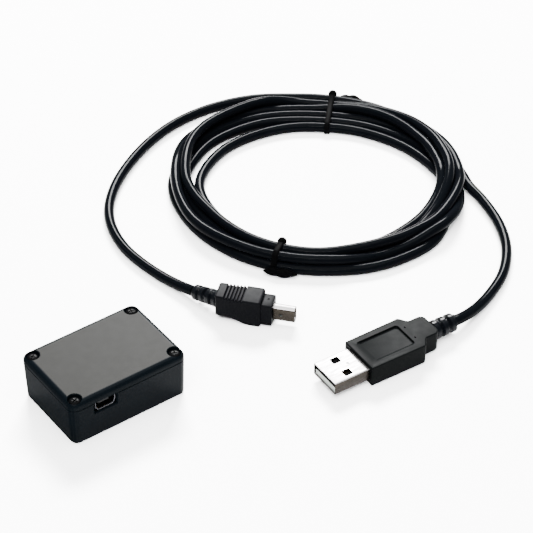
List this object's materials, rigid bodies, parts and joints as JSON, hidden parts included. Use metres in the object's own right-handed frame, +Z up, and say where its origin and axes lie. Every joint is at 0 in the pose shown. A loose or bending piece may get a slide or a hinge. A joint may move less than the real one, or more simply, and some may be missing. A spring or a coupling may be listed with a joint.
{
  "type": "sensor module with usb cable",
  "caption": "Small rounded plastic sensor box with a screwed lid and mini USB port, beside its coiled cable with a mini plug and a USB-A plug.",
  "frame": {"origin": "centre of the underside of the box", "axes": "+X along the box, -Y out of the wall with the port, +Z up through the lid"},
  "size_m": [0.1866, 0.1531, 0.0165],
  "materials": {
    "lid_plastic": "fine satin moulding texture that looks grey under soft light",
    "case_plastic": "semi-gloss black moulding with rounded edges",
    "screw_steel": "zinc plated pan head screw",
    "plated_steel": "bright nickel plated sheet",
    "board": "green solder mask",
    "insert_plastic": "pale moulded insert",
    "contact_gold": "gold plated contact",
    "chip_black": "moulded chip body",
    "ceramic": "ceramic body",
    "light_lens": "clear moulded lens",
    "plug_pvc": "satin dark grey overmould",
    "cable_jacket": "glossy black jacket",
    "tie_plastic": "black plastic covered wire tie"
  },
  "bodies": {
    "housing": {"board_screw_left": "screw_steel", "board_screw_right": "screw_steel", "capacitor_1": "ceramic", "capacitor_2": "ceramic", "capacitor_3": "ceramic", "capacitor_4": "ceramic", "circuit_board": "board", "crystal": "plated_steel", "enclosure_base": "case_plastic", "microcontroller": "chip_black", "resistor_1": "chip_black", "resistor_2": "chip_black", "resistor_3": "chip_black", "resistor_4": "chip_black", "status_light": "light_lens", "usb_bridge_chip": "chip_black", "usb_receptacle_shell": "plated_steel", "usb_receptacle_tongue": "insert_plastic", "voltage_regulator": "chip_black"},
    "lid": {"enclosure_lid": "lid_plastic", "lid_screw_back_left": "screw_steel", "lid_screw_back_right": "screw_steel", "lid_screw_front_left": "screw_steel", "lid_screw_front_right": "screw_steel"},
    "usb_cable": {"cable_coil": "cable_jacket", "cable_lead_a": "cable_jacket", "cable_lead_mini": "cable_jacket", "mini_plug_overmould": "plug_pvc", "mini_plug_shell": "plated_steel", "mini_plug_strain_relief": "plug_pvc", "mini_plug_tongue": "insert_plastic", "tie_back": "tie_plastic", "tie_front": "tie_plastic", "usb_a_contact_1": "contact_gold", "usb_a_contact_2": "contact_gold", "usb_a_contact_3": "contact_gold", "usb_a_contact_4": "contact_gold", "usb_a_overmould": "plug_pvc", "usb_a_shell": "plated_steel", "usb_a_strain_relief": "plug_pvc", "usb_a_tongue": "insert_plastic"}
  },
  "joints": [
    {"name": "lid_lift", "type": "slide", "parent": "housing", "child": "lid", "axis": [0, 0, 1], "range_m": [0, 0.03]},
    {"name": "cable_lift", "type": "slide", "parent": "housing", "child": "usb_cable", "axis": [0, 0, 1], "range_m": [0, 0.05]}
  ]
}
